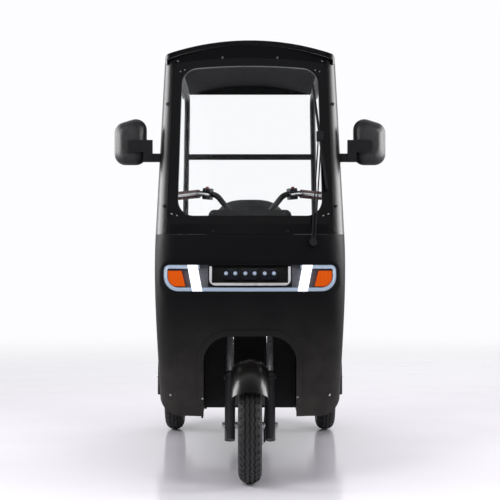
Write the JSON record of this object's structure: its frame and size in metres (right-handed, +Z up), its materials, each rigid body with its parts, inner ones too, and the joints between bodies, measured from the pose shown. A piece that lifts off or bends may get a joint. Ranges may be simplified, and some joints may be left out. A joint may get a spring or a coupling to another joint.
{
  "type": "electric tricycle",
  "caption": "Narrow roofed electric tricycle with a raked windscreen, a steered front wheel in a deep arch, a driver's seat and a rear bench.",
  "frame": {"origin": "on the floor under the middle of the vehicle, halfway between the front tyre's and the rear bumper's ends", "axes": "+Z up, -Y towards the nose, +X towards the driver's left, which is the viewer's right from the front"},
  "size_m": [1.032, 2.147, 1.6823],
  "materials": {
    "body_black": "satin black paint, smooth broad panels",
    "hood_black": "satin black paint of the upper body and roof",
    "trim_black": "fine-grained black moulding",
    "frame_black": "powder-coated black steel tube",
    "window_glass": "clear laminated pane with a glossy black border",
    "mirror_glass": "silvered mirror",
    "tyre_rubber": "black tread rubber",
    "rim_alloy": "dark grey painted cast rim",
    "fork_chrome": "chromed tube",
    "fork_black": "black painted casting with machined edges",
    "axle_steel": "zinc-plated steel",
    "guard_gloss": "gloss brownish-black moulding",
    "lamp_lens": "clear lens over white light sources",
    "light_guide": "frosted pale blue light guide",
    "amber_lens": "amber turn-lamp lens",
    "red_lens": "red rear-lamp lens",
    "bezel_silver": "bright bezel",
    "lamp_grey": "grey speckled satin panel",
    "seat_leather": "dark grey ribbed vinyl leather",
    "grip_brown": "brown-grey moulded grip",
    "cable_black": "black cable sheath",
    "floor_mat": "ribbed black rubber mat on steel",
    "liner_grey": "dark grey ribbed liner",
    "motor_alloy": "cast aluminium housing"
  },
  "bodies": {
    "chassis": {"battery_pack": "trim_black", "brake_pedal": "frame_black", "canopy_frame": "frame_black", "dashboard": "trim_black", "drive_motor": "motor_alloy", "driver_seat_back": "seat_leather", "driver_seat_cushion": "seat_leather", "floor_board": "floor_mat", "front_cowl": "body_black", "front_turn_lamps": "amber_lens", "headlamp_lenses": "lamp_lens", "lamp_panel": "lamp_grey", "leaf_springs": "frame_black", "light_bar_bezel": "bezel_silver", "light_guides": "light_guide", "main_frame": "frame_black", "mirror_arms": "trim_black", "mirror_glasses": "mirror_glass", "mirror_housings": "trim_black", "passenger_seat_back": "seat_leather", "passenger_seat_cushion": "seat_leather", "rear_axle": "axle_steel", "rear_body": "body_black", "rear_bumper": "trim_black", "rear_fenders": "body_black", "rear_lamps": "red_lens", "roof_liner": "liner_grey", "roof_panel": "hood_black", "seat_back_frames": "frame_black", "seat_box": "body_black", "wheel_well": "trim_black", "windscreen": "window_glass", "windscreen_surround": "hood_black", "wiper": "trim_black"},
    "steering": {"fork": "fork_chrome", "fork_sliders": "fork_black", "front_axle": "axle_steel", "front_mudguard": "guard_gloss", "handlebar": "frame_black", "hand_grips": "grip_brown", "control_pods": "trim_black", "brake_levers": "axle_steel", "brake_cable": "cable_black"},
    "front_wheel": {"front_rim": "rim_alloy", "front_tyre": "tyre_rubber"},
    "rear_wheel_left": {"rear_rim_left": "rim_alloy", "rear_tyre_left": "tyre_rubber"},
    "rear_wheel_right": {"rear_rim_right": "rim_alloy", "rear_tyre_right": "tyre_rubber"}
  },
  "joints": [
    {"name": "steering_turn", "type": "hinge", "parent": "chassis", "child": "steering", "pos_m": [0, -0.64011, 0.64111], "axis": [0, 0.4067, 0.9135], "range_deg": [-35, 35]},
    {"name": "front_wheel_spin", "type": "hinge", "parent": "steering", "child": "front_wheel", "pos_m": [0, -0.866, 0.2075], "axis": [1, 0, 0], "continuous": true},
    {"name": "rear_wheel_left_spin", "type": "hinge", "parent": "chassis", "child": "rear_wheel_left", "pos_m": [-0.35, 0.654, 0.2075], "axis": [1, 0, 0], "continuous": true},
    {"name": "rear_wheel_right_spin", "type": "hinge", "parent": "chassis", "child": "rear_wheel_right", "pos_m": [0.35, 0.654, 0.2075], "axis": [1, 0, 0], "continuous": true}
  ]
}
